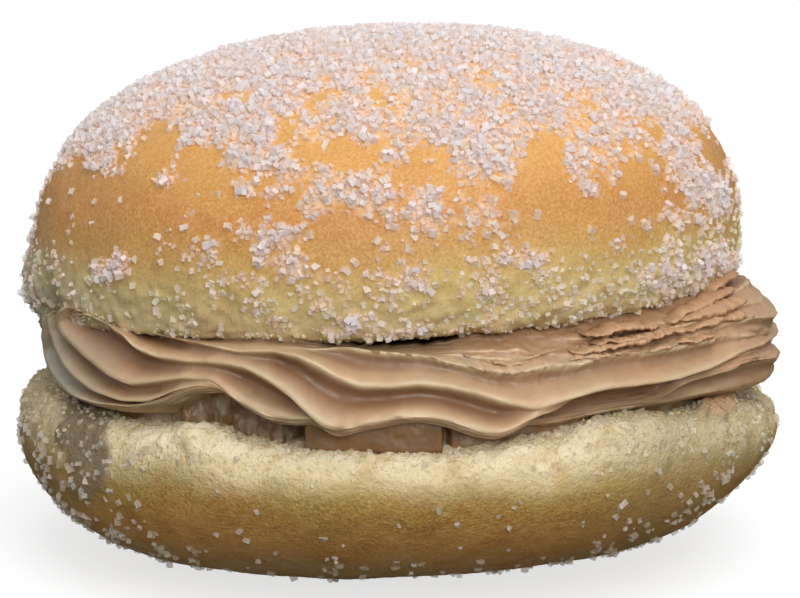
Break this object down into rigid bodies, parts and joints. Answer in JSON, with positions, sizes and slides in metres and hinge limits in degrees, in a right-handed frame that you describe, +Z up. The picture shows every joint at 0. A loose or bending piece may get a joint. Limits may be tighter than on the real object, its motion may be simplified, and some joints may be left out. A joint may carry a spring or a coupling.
{
  "type": "cream-filled sugared doughnut",
  "caption": "Round yeast doughnut without a hole, sliced across and filled with a piped ring of nut-brown cream, with coarse sugar over its domed top.",
  "frame": {"origin": "under the middle of the doughnut's bounding box, on the flat foot it rests on", "axes": "+Z up from the foot of the lower half to the top of the dome, +X towards the side where the cream bulges out in fine ridges, -Y towards the folded front of the rope of cream"},
  "size_m": [0.086, 0.0856, 0.0586],
  "materials": {
    "base_dough": "soft matte fried dough, pale at the lip and browner below",
    "nut_cream": "satin piped cream",
    "sugared_crust": "matte golden crust with glassy coarse sugar"
  },
  "bodies": {
    "root": {"base": "base_dough", "cream_filling": "nut_cream", "crown": "sugared_crust"}
  },
  "joints": []
}
